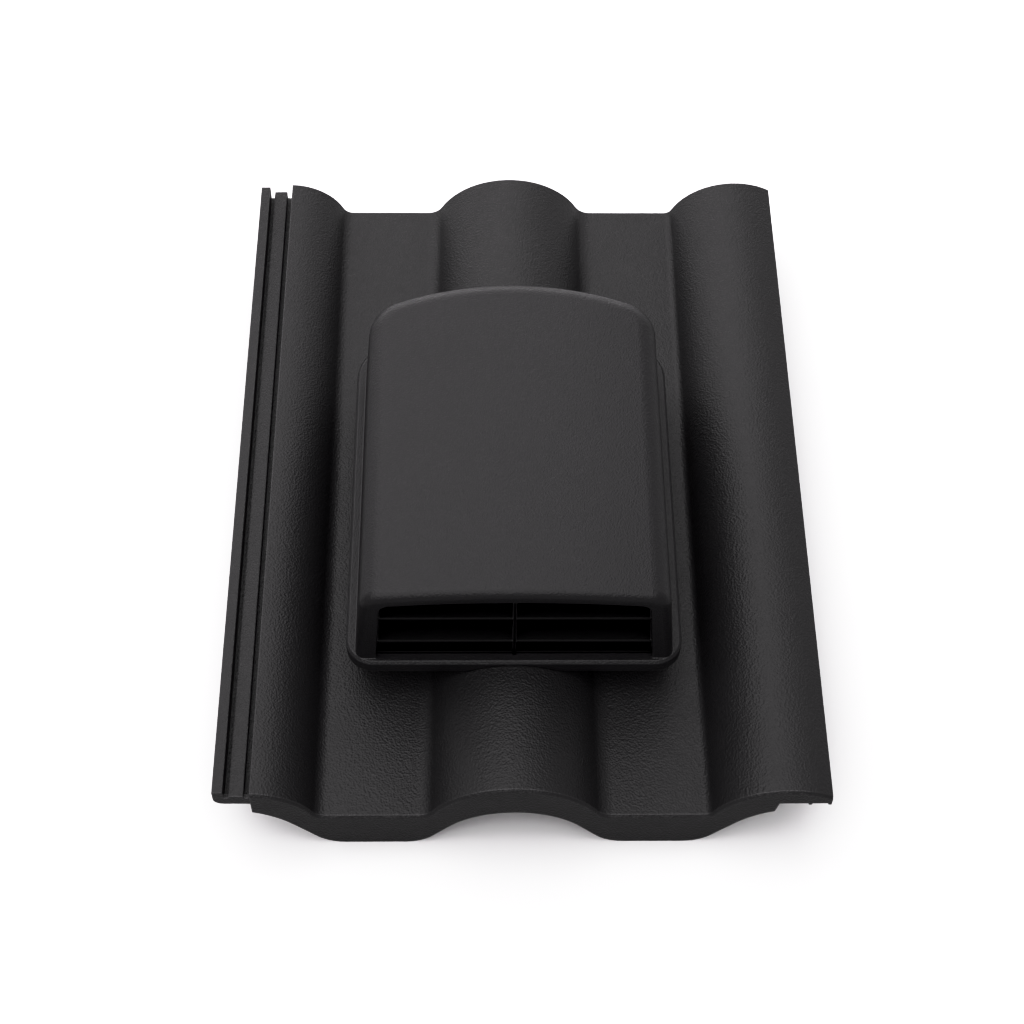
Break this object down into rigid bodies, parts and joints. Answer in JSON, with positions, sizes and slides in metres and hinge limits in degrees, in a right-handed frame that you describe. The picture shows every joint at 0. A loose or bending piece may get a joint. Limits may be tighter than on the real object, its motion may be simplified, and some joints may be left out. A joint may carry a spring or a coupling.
{
  "type": "roof tile vent",
  "caption": "Moulded double roman roof tile with a hooded louvre vent, a duct spigot under its deck and an insect screen.",
  "frame": {"origin": "middle of the bounding box, at the height of the nose's foot", "axes": "+X across the tile towards the cover edge, +Y up the slope from the nose to the head, +Z out of the roof"},
  "size_m": [0.3178, 0.42, 0.1275],
  "materials": {
    "tile_plastic": "fine leathery grain, satin",
    "hood_plastic": "very fine grain, satin",
    "louvre_plastic": "smooth, satin",
    "spigot_plastic": "smooth, satin",
    "screen_plastic": "smooth, satin"
  },
  "bodies": {
    "root": {"tile_base": "tile_plastic", "hood": "hood_plastic", "louvre_grille": "louvre_plastic", "hose_spigot": "spigot_plastic", "insect_screen": "screen_plastic"}
  },
  "joints": []
}
